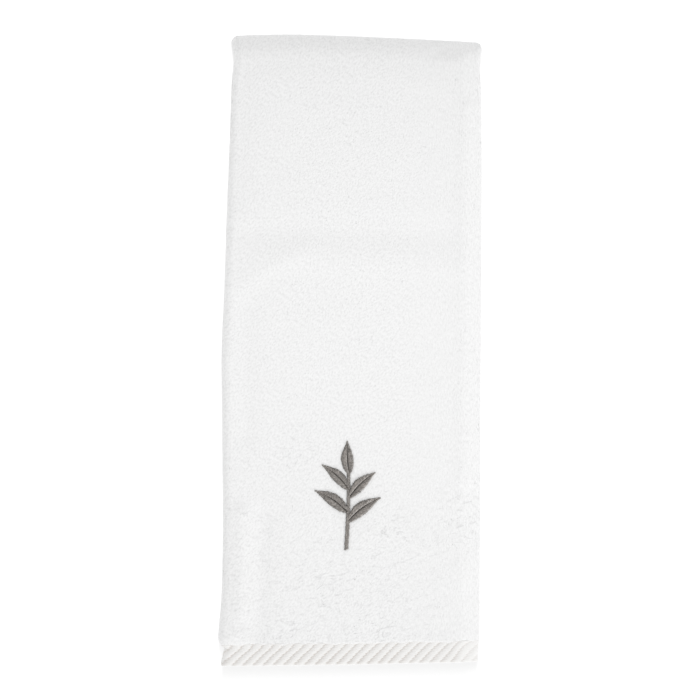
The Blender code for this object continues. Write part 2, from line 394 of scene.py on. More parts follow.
def half_thickness(across, along):
    """Half the cloth's thickness: thinner at the side edges, and thinnest where it runs into a border."""
    from_side = numpy.minimum(across, TOWEL_WIDTH - across)
    from_end = numpy.minimum(along, TOWEL_LENGTH - along)
    plain = BORDER_THICKNESS / 2
    side = plain + (TERRY_THICKNESS / 2 - plain) * ease(from_side / SELVEDGE_WIDTH)
    wander = PILE_WANDER * patches(across, numpy.zeros_like(across), PILE_EDGE)
    into_pile = numpy.clip((from_end - BORDER_DEPTH + PILE_START + wander) / PILE_STEP, 0, 1)
    rounded = numpy.sqrt(1 - (1 - into_pile) ** 2)
    return TUCKED_THICKNESS / 2 + (side - TUCKED_THICKNESS / 2) * rounded


def settled():
    """What moves the folded towel so that its origin is mid-way under it, on the surface that it lies on."""
    across, along = numpy.meshgrid(numpy.linspace(0, TOWEL_WIDTH, 240), numpy.linspace(0, TOWEL_LENGTH, 400))
    half = BASE * lie_of_cloth(across, along)[2]
    points = numpy.concatenate([folded(across, along) + half, folded(across, along) - half]).reshape(-1, 3)
    low = points.min(axis=0)
    high = points.max(axis=0)
    return numpy.array([-(low[0] + high[0]) / 2, -(low[1] + high[1]) / 2, -low[2]])


SETTLED = settled()


def pressed(points):
    """The points, with none below the surface that the towel lies on."""
    points[..., 2] = numpy.maximum(points[..., 2], 0.0)
    return points


def cloth_point(across, along, lift=0.0):
    """Points on the cloth's face, or lifted off it."""
    full = numpy.clip(half_thickness(across, along) / BASE * 2 - 1, 0, 1)
    rise = half_thickness(across, along) + relief(across, along) * full + lift
    facing = lie_of_cloth(across, along)[2]
    return pressed(folded(across, along) + facing * rise[..., None] + SETTLED)


def evenly(start, end, spacing):
    """Places from start up to, but without, end, about this far apart."""
    return numpy.linspace(start, end, max(round((end - start) / spacing), 1), endpoint=False)


def lines(stretches, end):
    """Places up to and with the end. Each stretch is where it starts, and how far apart its places are."""
    starts = [start for start, spacing in stretches]
    stops = starts[1:] + [end]
    runs = [evenly(start, stop, spacing) for (start, spacing), stop in zip(stretches, stops)]
    return numpy.append(numpy.concatenate(runs), end)


def shown(name, mesh, corners, flat):
    """A smooth object of a mesh, with flat places as its UV map."""
    uv = mesh.uv_layers.new(name="OFBake")
    uv.uv.foreach_set("vector", flat[corners].astype(numpy.float32).ravel())
    mesh.polygons.foreach_set("use_smooth", numpy.ones(len(mesh.polygons), dtype=bool))
    mesh.update(calc_edges=True)
    mesh.validate()
    made = bpy.data.objects.new(name, mesh)
    bpy.context.scene.collection.objects.link(made)
    return made


def make_mesh(name, points, faces, flat):
    """A mesh object from points and faces, with flat places as its UV map."""
    mesh = bpy.data.meshes.new(name)
    mesh.from_pydata(points.tolist(), [], faces)
    corners = numpy.empty(len(mesh.loops), dtype=numpy.int32)
    mesh.loops.foreach_get("vertex_index", corners)
    return shown(name, mesh, corners, flat)


def face_out(made):
    """Turns a closed shape's faces outwards."""
    bpy.ops.object.select_all(action="DESELECT")
    made.select_set(True)
    bpy.context.view_layer.objects.active = made
    bpy.ops.object.mode_set(mode="EDIT")
    bpy.ops.mesh.select_all(action="SELECT")
    bpy.ops.mesh.normals_make_consistent(inside=False)
    bpy.ops.object.mode_set(mode="OBJECT")


def grid_faces(columns, rows, first=0):
    """The four-cornered faces of a grid of points, row after row."""
    corner = (first + numpy.arange(rows - 1)[:, None] * columns + numpy.arange(columns - 1)[None, :]).ravel()
    return numpy.stack([corner, corner + columns, corner + columns + 1, corner + 1], axis=1)


FACE_STEP = 0.0010  # between the points of the face where it shows
CRACK_WIDTH = 0.08  # of the small cracks between strokes of pile, as a share of the noise that draws them
# how much painted shade darkens the pile in a crack
CRACK_PAINTED_SHADE = 0.10

across_lines = lines([
    (0.0, SELVEDGE_WIDTH / 2),
    (SELVEDGE_WIDTH, 0.016),
    (TIGHT_START - 0.012, 0.0030),
    (TIGHT_START - 0.003, 0.0007),
    (TIGHT_END, FACE_STEP),
    (WIDE_START, 0.0008),
    (WIDE_END + 0.003, 0.0030),
    (WIDE_END + 0.012, 0.016),
    (TOWEL_WIDTH - SELVEDGE_WIDTH, SELVEDGE_WIDTH / 2),
], TOWEL_WIDTH)
step_lines = numpy.array([PILE_START - TUCK, -0.0003, 0.0, 0.0002, 0.0004, 0.0006])
step_lines = BORDER_DEPTH - PILE_START + step_lines
along_lines = numpy.concatenate([
    step_lines,
    evenly(BORDER_DEPTH + PILE_STEP - PILE_START, LEG_LENGTH, FACE_STEP),
    evenly(LEG_LENGTH, LEG_LENGTH + TOP_FOLD_LENGTH, FACE_STEP),
    evenly(LEG_LENGTH + TOP_FOLD_LENGTH, TOWEL_LENGTH - BORDER_DEPTH - PILE_STEP, 0.0050),
    [TOWEL_LENGTH - BORDER_DEPTH - PILE_STEP + PILE_START],
    TOWEL_LENGTH - step_lines[::-1],
])


def every(count, step):
    """Numbers of every so-manyth line, with the last one."""
    return numpy.append(numpy.arange(0, count - 1, step), count - 1)


# Small cracks all over the lower front, up to CRACKS_TOP and short of its right fold
CRACKS_MOST = 0.55
CRACKS_TOP = 0.105
CRACKS_TOP_REACH = 0.035
CRACKS_RIGHT = 0.065
CRACKS_RIGHT_REACH = 0.020
UPRIGHT_START = 0.020
UPRIGHT_REACH = 0.040


def cracked(x, height):
    """How many small cracks the brushed face has at a place, from 0 to 1: most are near the lower end."""
    low = CRACKS_MOST * ease((CRACKS_TOP - height) / CRACKS_TOP_REACH)
    return numpy.maximum(ruffled(x, height), low * ease((CRACKS_RIGHT - x) / CRACKS_RIGHT_REACH))


def brushed_upright(x):
    """How far the strokes of the pile stand upright at a place, from 0 on the left to 1 on the right."""
    return ease((x - UPRIGHT_START) / UPRIGHT_REACH)


def make_terry():
    """The terry sheet: a fine face, a coarse back, and a rim that joins them."""
    columns = len(across_lines)
    rows = len(along_lines)
    across, along = numpy.meshgrid(across_lines, along_lines)
    face = cloth_point(across, along).reshape(-1, 3)
    back_columns = every(columns, 4)
    back_rows = every(rows, 7)
    back_across, back_along = numpy.meshgrid(across_lines[back_columns], along_lines[back_rows])
    facing = lie_of_cloth(back_across, back_along)[2]
    back = folded(back_across, back_along) + SETTLED
    back = back - facing * half_thickness(back_across, back_along)[..., None]
    first = len(face)
    wide = len(back_columns)
    faces = grid_faces(columns, rows).tolist()
    faces += grid_faces(wide, len(back_rows), first)[:, ::-1].tolist()
    for row, back_row in ((0, 0), (rows - 1, len(back_rows) - 1)):
        for step in range(wide - 1):
            run = [row * columns + column for column in range(back_columns[step], back_columns[step + 1] + 1)]
            near = first + back_row * wide + step
            faces.append(run + [near + 1, near])
    for column, back_column in ((0, 0), (columns - 1, wide - 1)):
        for step in range(len(back_rows) - 1):
            run = [row * columns + column for row in range(back_rows[step], back_rows[step + 1] + 1)]
            near = first + step * wide + back_column
            faces.append(run + [near + wide, near])
    flat = numpy.concatenate([
        numpy.stack([across, along], axis=-1).reshape(-1, 2),
        numpy.stack([back_across + TOWEL_WIDTH * 1.02, back_along], axis=-1).reshape(-1, 2),
    ])
    points = numpy.concatenate([face, back.reshape(-1, 3)])
    made = make_mesh("terry", points, faces, flat / TOWEL_LENGTH * 0.85)
    x, depth = place_across(across)
    height, turn = place_along(along)
    on_front = (depth < 0.01) & (turn == 0)
    for mask, shares in (("upright", brushed_upright(x)), ("cracked", on_front * cracked(x, height))):
        values = numpy.zeros(len(made.data.vertices), dtype=numpy.float32)
        values[:first] = shares.ravel()
        made.data.attributes.new(mask, "FLOAT", "POINT").data.foreach_set("value", values)
    face_out(made)
    return made


def feed(tree, node, values):
    """Sets each of these inputs of a node to a constant, or links another node's output to it."""
    for label, value in values.items():
        if isinstance(value, bpy.types.NodeSocket):
            tree.links.new(value, node.inputs[label])
        else:
            node.inputs[label].default_value = value
    return node


def mixed(tree, first, second, factor, blend="MIX", kind="RGBA"):
    """Two colours, or two values, mixed by a factor."""
    node = tree.nodes.new("ShaderNodeMix")
    node.data_type = kind
    node.blend_type = blend
    return feed(tree, node, {"Factor": factor, "A": first, "B": second}).outputs["Result"]


def mapped(tree, value, low, high, to_low=0.0, to_high=1.0):
    """A value spread from one range to another, and held inside it."""
    node = feed(tree, tree.nodes.new("ShaderNodeMapRange"), {
        "Value": value, "From Min": low, "From Max": high, "To Min": to_low, "To Max": to_high
    })
    return node.outputs["Result"]


def worked_out(tree, operation, first, second=0.0):
    """What a sum, a product or the like makes of one or two values."""
    node = tree.nodes.new("ShaderNodeMath")
    node.operation = operation
    return feed(tree, node, {0: first, 1: second}).outputs["Value"]


def read_mask(tree, name):
    """The values of a mask on the mesh."""
    mask = tree.nodes.new("ShaderNodeAttribute")
    mask.attribute_name = name
    return mask.outputs["Fac"]


def cotton_group():
    """Cotton yarn seen close to: brighter and darker fibres, and how far they stand out."""
    group = bpy.data.node_groups.new("cotton", "ShaderNodeTree")
    for label, way, kind in (
        ("Place", "INPUT", "NodeSocketVector"),
        ("Scale", "INPUT", "NodeSocketFloat"),
        ("Light", "INPUT", "NodeSocketColor"),
        ("Dark", "INPUT", "NodeSocketColor"),
        ("Color", "OUTPUT", "NodeSocketColor"),
        ("Height", "OUTPUT", "NodeSocketFloat"),
    ):
        group.interface.new_socket(label, in_out=way, socket_type=kind)
    given = group.nodes.new("NodeGroupInput").outputs
    fibre = feed(group, group.nodes.new("ShaderNodeTexNoise"), {
        "Vector": given["Place"], "Scale": given["Scale"], "Detail": 3.0, "Roughness": 0.6
    }).outputs["Fac"]
    color = mixed(group, given["Dark"], given["Light"], mapped(group, fibre, 0.32, 0.62))
    feed(group, group.nodes.new("NodeGroupOutput"), {"Color": color, "Height": fibre})
    return group


COTTON = cotton_group()


def matt_material(name, sheen):
    """A matt cotton finish, with its shader and the piece's own flat map."""
    material = bpy.data.materials.new(name)
    material.use_nodes = True
    tree = material.node_tree
    shader = feed(tree, tree.nodes["Principled BSDF"], {
        "Roughness": 1.0, "Specular IOR Level": 0.2, "Sheen Weight": sheen, "Sheen Roughness": 0.6
    })
    flat = tree.nodes.new("ShaderNodeUVMap")
    flat.uv_map = "OFBake"
    return material, shader, flat.outputs["UV"]


def cloth_material(name, light, dark, scale, bump, sheen=0.0):
    """A matt finish of cotton yarn, with its shader, its flat map and its yarn."""
    material, shader, flat = matt_material(name, sheen)
    tree = material.node_tree
    cotton = tree.nodes.new("ShaderNodeGroup")
    cotton.node_tree = COTTON
    feed(tree, cotton, {"Place": flat, "Scale": scale, "Light": (*light, 1), "Dark": (*dark, 1)})
    raised = feed(tree, tree.nodes.new("ShaderNodeBump"), {
        "Height": cotton.outputs["Height"], "Strength": 1.0, "Distance": bump
    })
    feed(tree, shader, {"Normal": raised.outputs["Normal"], "Base Color": cotton.outputs["Color"]})
    return material, shader, flat, cotton


def stroke_noise(tree, flat, turn, wide, tall):
    """Soft noise in strokes this wide and tall, turned by these degrees on the flat map."""
    place = tree.nodes.new("ShaderNodeMapping")
    place.vector_type = "TEXTURE"
    feed(tree, place, {"Vector": flat, "Rotation": (0, 0, math.radians(turn)), "Scale": (wide, tall, 1.0)})
    return feed(tree, tree.nodes.new("ShaderNodeTexNoise"), {
        "Vector": place.outputs["Vector"], "Scale": 1.0, "Detail": 1.0
    }).outputs["Fac"]


def small_cracks(tree, flat):
    """Short cracks that run nearly level across the pile, from 0 to 1: the pile sinks there and painted shade
    darkens it.
    """
    line = worked_out(tree, "SUBTRACT", stroke_noise(tree, flat, 76, 0.0038, 0.0105), 0.5)
    near = mapped(tree, worked_out(tree, "ABSOLUTE", line), 0.0, CRACK_WIDTH, 1.0, 0.0)
    here = mapped(tree, stroke_noise(tree, flat, 70, 0.0032, 0.0052), 0.50, 0.60)
    there = worked_out(tree, "MULTIPLY", near, here)
    return worked_out(tree, "MULTIPLY", there, read_mask(tree, "cracked"))


def terry_material():
    """White sheared cotton, brushed into strokes that lean on the left and stand upright on the right."""
    material, shader, flat, cotton = cloth_material(
        "terry_pile", (0.955, 0.955, 0.955), (0.915, 0.915, 0.915), 1100.0, 0.00015, 0.1
    )
    tree = material.node_tree
    leaning = stroke_noise(tree, flat, 32, 0.00112, 0.0020)
    upright = mapped(tree, stroke_noise(tree, flat, 2, 0.00092, 0.0027), 0.0, 1.0, 0.10, 0.90)
    stroke = mixed(tree, leaning, upright, read_mask(tree, "upright"), kind="FLOAT")
    cracks = small_cracks(tree, flat)
    # Painted shade: the pile is darkened in the small cracks, where shade would fall
    darker = worked_out(tree, "MULTIPLY", cracks, -CRACK_PAINTED_SHADE)
    light = worked_out(tree, "ADD", mapped(tree, stroke, 0.28, 0.60, 0.882, 0.981), darker)
    tone = mixed(tree, cotton.outputs["Color"], light, 1.0, "MULTIPLY")
    feed(tree, shader, {"Base Color": tone})
    rise = worked_out(tree, "ADD", cotton.outputs["Height"], stroke)
    feed(tree, tree.nodes["Bump"], {"Height": worked_out(tree, "SUBTRACT", rise, cracks)})
    return material


terry = make_terry()
terry.data.materials.append(terry_material())
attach(terry, "root")
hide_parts("towel")

# ---- The standing pile ----
# The cut ends of the pile's yarns stand a little above the sheet, lean together in small tufts, and make the
# towel's edges soft. They are white cotton, rooted in the sheet.

PILE_DENSITY = 2.5e6  # fibres for each square metre
FIBRE_WIDTH = 0.00030
FIBRE_LENGTH = 0.0013
FIBRE_LEAN = 0.12  # how far they stand up, as a share of their length
FIBRE_STRAY = 0.05  # and how much more or less that can be
FIBRE_ROOT = 0.00021  # how deep their feet lie in the sheet
FIBRE_DARK = (0.885, 0.885, 0.885, 1)
FIBRE_LIGHT = (0.955, 0.955, 0.955, 1)
FIBRE_TONES = (0.03, 0.97)  # the least and the most of the way from dark to light that a fibre can be
TUFT_SPACING = 0.0015
TUFT_JITTER = 0.45 * TUFT_SPACING
TUFT_ACROSS = Pattern(wide=0.0011, tall=0.0011, seed=43)
TUFT_ALONG = Pattern(wide=0.0011, tall=0.0011, seed=47)
EDGE_HANG = 0.7  # how far the pile beside the border turns down over it
EDGE_OUT = 0.15  # and how far it still stands out there
EDGE_REACH = 0.0011
EDGE_UNEVEN = 0.40
EDGE_LOCKS = Pattern(wide=0.0020, tall=0.0100, seed=61)
EDGE_LIFT = 0.0001
# how much painted shade darkens the pile where it hangs over the border
EDGE_PAINTED_SHADE = 0.7
PARTING_ROOT = 0.0003  # how much deeper the fibres of a parting are rooted
STROKE_RISE = 0.00008
STROKE_WIDTH = 0.00062  # of the lighter and darker strokes that the pile lies in
STROKE_LENGTH = 0.0026
# They lean on the left, stand upright on the right, and are coarser low on the front
LEANING = Pattern(wide=STROKE_WIDTH, tall=STROKE_LENGTH, seed=67, turn=-32)
UPRIGHT = Pattern(wide=STROKE_WIDTH, tall=STROKE_LENGTH, seed=71, turn=-2)
COARSE = Pattern(wide=1.7 * STROKE_WIDTH, tall=1.3 * STROKE_LENGTH, seed=73, turn=-28)
COARSE_TOP = 0.075
COARSE_REACH = 0.030
# Which way the pile leans, in degrees from straight right, and the patterns in which it strays from that
LEAN_MIDDLE = 60
LEAN_LEFT = 10  # less on the left
LEAN_RIGHT = 32  # more on the right
LEAN_BROAD = Pattern(wide=0.014, tall=0.018, seed=31)
LEAN_FINE = Pattern(wide=0.0045, tall=0.0060, seed=37)
LEAN_RUFFLED = Pattern(wide=0.0060, tall=0.0070, seed=41)


def taken_apart(made):
    """An object's corner points and faces. The object itself is removed."""
    points = numpy.array([vertex.co for vertex in made.data.vertices])
    faces = numpy.array([list(face.vertices) for face in made.data.polygons])
    bpy.data.objects.remove(made)
    return points, faces


def one_fibre():
    """One fibre as corner points and faces: three-sided, closed, 1 wide at its foot and 1 long, along +Z."""
    bpy.ops.object.select_all(action="DESELECT")
    bpy.ops.mesh.primitive_cone_add(vertices=3, radius1=0.5, radius2=0.0, depth=1.0, location=(0, 0, 0.5))
    cone = bpy.context.active_object
    bpy.ops.object.transform_apply(location=True)
    return taken_apart(cone)


FIBRE_POINTS, FIBRE_FACES = one_fibre()


def fast_mesh(name, points, faces, flat, count):
    """A mesh object of so many copies of a shape made of triangles, with flat places as its UV map."""
    first = len(points) // count * numpy.arange(count)[:, None]
    corners = (faces.ravel()[None, :] + first).ravel().astype(numpy.int32)
    mesh = bpy.data.meshes.new(name)
    mesh.vertices.add(len(points))
    mesh.vertices.foreach_set("co", points.astype(numpy.float32).ravel())
    mesh.loops.add(len(corners))
    mesh.loops.foreach_set("vertex_index", corners)
    mesh.polygons.add(len(corners) // 3)
    mesh.polygons.foreach_set("loop_start", numpy.arange(0, len(corners), 3, dtype=numpy.int32))
    return shown(name, mesh, corners, flat)


def lean_of_pile(x, height, draws):
    """The way that each fibre of the pile leans, as an angle from straight right."""
    left = ease((-0.005 - x) / 0.060)
    right = ease((x - 0.010) / 0.045)
    heading = math.radians(LEAN_MIDDLE) - math.radians(LEAN_LEFT) * left
    heading = heading + math.radians(LEAN_RIGHT) * right
    heading = heading + 0.40 * patches(x, height, LEAN_BROAD) + 0.30 * patches(x, height, LEAN_FINE)
    unruly = ruffled(x, height)
    heading = heading + 1.4 * unruly * patches(x, height, LEAN_RUFFLED)
    return heading + draws.normal(0, 0.25, len(x)) * (1 + 0.8 * unruly)


def strokes(x, height):
    """Higher and lower strokes of pile, from -1 to 1: aslant on the left, in upright rows on the right."""
    right = brushed_upright(x)
    fine = patches(x, height, LEANING) * (1 - right) + patches(x, height, UPRIGHT) * right
    low = ease((COARSE_TOP - height) / COARSE_REACH)
    return fine * (1 - low) + patches(x, height, COARSE) * low


def make_pile(name, fields, seed):
    """Fibres all over some fields of the cloth, each from and to a distance across and along it."""
    draws = numpy.random.default_rng(seed)
    across = []
    along = []
    for low_across, high_across, low_along, high_along in fields:
        count = round((high_across - low_across) * (high_along - low_along) * PILE_DENSITY)
        across.append(draws.uniform(low_across, high_across, count))
        along.append(draws.uniform(low_along, high_along, count))
    across = numpy.concatenate(across)
    along = numpy.concatenate(along)
    x, depth = place_across(across)
    height, turn = place_along(along)
    kept = (in_sprig(x, height, 0.0005) < 0.8) | (depth > 0.01) | (turn > 0)
    across, along, x, height = across[kept], along[kept], x[kept], height[kept]
    count = len(across)
    stroke = strokes(x, height)
    parting = parted(x, height)
    over = numpy.clip(1 - (along - BORDER_DEPTH) / EDGE_REACH, 0, 1)
    over = over * (1 - EDGE_UNEVEN + EDGE_UNEVEN * patches(x, height, EDGE_LOCKS))
    lift = -FIBRE_ROOT + STROKE_RISE * stroke - PARTING_ROOT * parting + EDGE_LIFT * over
    root = cloth_point(across, along, lift)
    # Each fibre's tone follows its stroke, with painted shade where the pile is parted and where it hangs over
    # the border
    shade = numpy.clip(0.5 + 0.6 * stroke - 0.5 * parting - EDGE_PAINTED_SHADE * over, *FIBRE_TONES)
    over = EDGE_HANG * over[:, None]
    right, up, out = lie_of_cloth(across, along)
    heading = lean_of_pile(x, height, draws)[:, None]
    stand = (FIBRE_LEAN + draws.uniform(-FIBRE_STRAY, FIBRE_STRAY, count))[:, None]
    way = (right * numpy.cos(heading) + up * numpy.sin(heading)) * numpy.sqrt(1 - FIBRE_LEAN**2)
    way = unit(way + out * stand)
    # The last of the pile hangs over the border
    way = unit(way * (1 - over) - up * over + out * EDGE_OUT * over)
    long = FIBRE_LENGTH * draws.uniform(0.6, 1.25, count)[:, None] * (1 - 0.25 * over)
    tip = root + way * long
    # Each fibre's tip is drawn towards its tuft's
    tuft_across = (numpy.floor(across / TUFT_SPACING) + 0.5) * TUFT_SPACING
    tuft_along = (numpy.floor(along / TUFT_SPACING) + 0.5) * TUFT_SPACING
    tuft_across = tuft_across + TUFT_JITTER * patches(tuft_across, tuft_along, TUFT_ACROSS)
    tuft_along = tuft_along + TUFT_JITTER * patches(tuft_across, tuft_along, TUFT_ALONG)
    pull = draws.uniform(0.0, 0.35, count)[:, None]
    shift = right * (across - tuft_across)[:, None] + up * (tuft_along - along)[:, None]
    way = tip + shift * pull - root
    length = numpy.linalg.norm(way, axis=1, keepdims=True)
    way = way / length
    side = unit(numpy.cross(way, out))
    other = numpy.cross(way, side)
    width = FIBRE_WIDTH * draws.uniform(0.8, 1.2, count)[:, None, None]
    points = root[:, None, :] + FIBRE_POINTS[None, :, 2:3] * (way * length)[:, None, :]
    points = pressed(points + width * (
        FIBRE_POINTS[None, :, 0:1] * side[:, None, :] + FIBRE_POINTS[None, :, 1:2] * other[:, None, :]
    ))
    shade = numpy.clip(shade + draws.uniform(-0.12, 0.12, count), *FIBRE_TONES)
    flat = numpy.stack([
        0.04 + 0.92 * numpy.broadcast_to(FIBRE_POINTS[:, 2], (count, 4)),
        shade[:, None] + 0.01 * numpy.array([0.0, 1.0, 2.0, 1.0])[None, :],
    ], axis=-1)
    return fast_mesh(name, points.reshape(-1, 3), FIBRE_FACES, flat.reshape(-1, 2), count)


def fibre_material():
    """White cotton fibre, with painted shade towards its foot, and lighter or darker from one stroke of pile to
    the next; its tone also holds painted shade in partings and over the border.
    """
    material, shader, flat = matt_material("pile_fibre", 0.1)
    tree = material.node_tree
    parts = feed(tree, tree.nodes.new("ShaderNodeSeparateXYZ"), {"Vector": flat})
    # Painted shade: each fibre a little darker towards its foot
    foot = mapped(tree, parts.outputs["X"], 0.0, 0.6, 0.98, 1.0)
    tone = mixed(tree, FIBRE_DARK, FIBRE_LIGHT, parts.outputs["Y"])
    feed(tree, shader, {"Base Color": mixed(tree, tone, foot, 1.0, "MULTIPLY")})
    return material


PILE_FINISH = fibre_material()
front_low = BORDER_DEPTH + 0.0004
third = (LEG_LENGTH - front_low) / 3
over_top = LEG_LENGTH + TOP_FOLD_LENGTH
back_end = TOWEL_LENGTH - BORDER_DEPTH
PILES = (
    ("pile_lower", [(TIGHT_END, WIDE_START, front_low, front_low + third)], 101),
    ("pile_middle", [(TIGHT_END, WIDE_START, front_low + third, front_low + 2 * third)], 102),
    ("pile_upper", [(TIGHT_END, WIDE_START, front_low + 2 * third, LEG_LENGTH)], 103),
    ("pile_top", [(TIGHT_START, WIDE_END, LEG_LENGTH, over_top)], 104),
    ("pile_right", [(TIGHT_START - 0.0005, TIGHT_END, front_low, LEG_LENGTH),
                    (TIGHT_START - 0.0005, TIGHT_END, over_top, back_end)], 105),
    ("pile_left", [(WIDE_START, WIDE_END + 0.0005, front_low, LEG_LENGTH),
                   (WIDE_START, WIDE_END + 0.0005, over_top, back_end)], 106),
)
piles = []
for pile_name, pile_fields, pile_seed in PILES:
    pile = make_pile(pile_name, pile_fields, pile_seed)
    pile.data.materials.append(PILE_FINISH)
    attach(pile, "root")
    piles.append(pile)

# ---- The borders ----
# Each end of the towel is a flat-woven band, turned under at the very end as a hem. Slanting ribs are woven
# into it, with a natural cotton thread that shows in the grooves between them; painted shade also darkens the
# grooves and the left side of each rib. It is folded with the towel.

RIB_PITCH = 0.0058  # from rib to rib, across
RIB_SLOPE = math.tan(math.radians(48))
RIB_TOOTH = 0.00157  # the small steps in which the weave draws a slanting line
TOOTH_REACH = 0.00038
RIB_HOOK = 0.0008  # how far a line bends to the right where it meets the terry
HOOK_START = 0.0098
RIB_RISE = 0.00030
GROOVE_DEPTH = 0.00022
GROOVE_WIDTH = 0.115  # as a share of a rib
RIB_PHASE = 0.36
RIB_SKEW = 1.2  # over 1, a rib is highest right of its middle
RIB_WANDER = 0.00030
RIB_WAVES = Pattern(wide=0.008, tall=0.020, seed=53)
LOOSE_X = 0.0620  # here a rib is drawn aside near the terry
LOOSE_REACH = 0.005
LOOSE_SHIFT = 0.0016
WEAVE = Pattern(wide=0.0006, tall=0.0006, seed=59)
WEAVE_RISE = 0.00003
FAINT_START = 0.056  # from here to the right the ribs grow fainter
FAINT_REACH = 0.012
FAINT_RIBS = 0.40  # how much lower they are there
BORDER_HALF = BORDER_THICKNESS / 2
HEM_REACH = 0.0005  # how far the turned hem's rounded edge reaches
HEM_PLAIN = 0.0016  # over which the ribs rise from the hem
FACE_TUCK = 0.0007  # how far the border runs in under the pile
TINT_AND_SHADE_MIDDLE = 0.22  # how much more of the thread tint and painted shade shows low in the middle
TINT_AND_SHADE_RIGHT = 0.12  # how much less of the thread tint and painted shade on the right half
TINT_AND_SHADE_FAINT = 0.42  # how much less of the thread tint and painted shade where the ribs are faint
TINT_AND_SHADE_HEM = 0.25  # how much less of the thread tint and painted shade at the hem's very edge
# How deep the thread's tint with painted shade is in a groove, how deep the painted shade is beside it, how far
# that reaches across the rib, how sharply it ends there, and how much each of these changes towards the hem
GROOVE_SHADE = 0.80
GROOVE_SHADE_HEM = -0.14
BESIDE_SHADE = 0.28
BESIDE_SHADE_HEM = 0.16
BESIDE_REACH = 0.42
BESIDE_REACH_HEM = 0.06
BESIDE_POWER = 1.4
BESIDE_POWER_HEM = 0.8
SHADE_STEPS = 0.25  # how much less each small step shows
HEM_SHADE_REACH = 0.0065
RIB_GRID = 0.00022


def rib_share(x, height):
    """How far across its rib a place is, from 0 at the groove on its left to 1 at the next."""
    wander = RIB_WANDER * patches(x, height, RIB_WAVES)
    loose = LOOSE_SHIFT * numpy.exp(-(((x - LOOSE_X) / LOOSE_REACH) ** 2)) * ease(height / BORDER_DEPTH)
    teeth = 4 * numpy.abs(height / RIB_TOOTH % 1 - 0.5) - 1
    hook = RIB_HOOK * ease((height - HOOK_START) / (BORDER_DEPTH - HOOK_START))
    line = height / RIB_SLOPE + hook - TOOTH_REACH * teeth
    phase = (x + wander + loose - line) / RIB_PITCH + RIB_PHASE
    return phase - numpy.floor(phase)


def groove(share):
    """How deep in the groove beside a rib a place is, from 0 to 1."""
    return numpy.exp(-((numpy.minimum(share, 1 - share) / GROOVE_WIDTH) ** 2))


def faint(x):
    """How much fainter the ribs are at a place, from 0 to 1 beside the right fold."""
    return ease((x - FAINT_START) / FAINT_REACH)


def thread_tint_and_shade_shows(x, height):
    """How plainly the natural thread's tint and the painted shade show at a place: most low in the middle, and
    least at the right.
    """
    middle = numpy.exp(-((x / 0.035) ** 2)) * (1 - ease((height - 0.004) / 0.006))
    shows = 1 + TINT_AND_SHADE_MIDDLE * middle - TINT_AND_SHADE_RIGHT * ease((x - 0.020) / 0.030)
    return shows - TINT_AND_SHADE_FAINT * faint(x) - TINT_AND_SHADE_HEM * (1 - ease(height / HEM_PLAIN))


def rib_relief(x, height):
    """How far the ribs stand out."""
    share = rib_share(x, height)
    rise = RIB_RISE * numpy.sin(math.pi * share**RIB_SKEW) - GROOVE_DEPTH * groove(share)
    rise = rise * (1 - FAINT_RIBS * faint(x))
    return (rise + WEAVE_RISE * patches(x, height, WEAVE)) * ease(height / HEM_PLAIN)


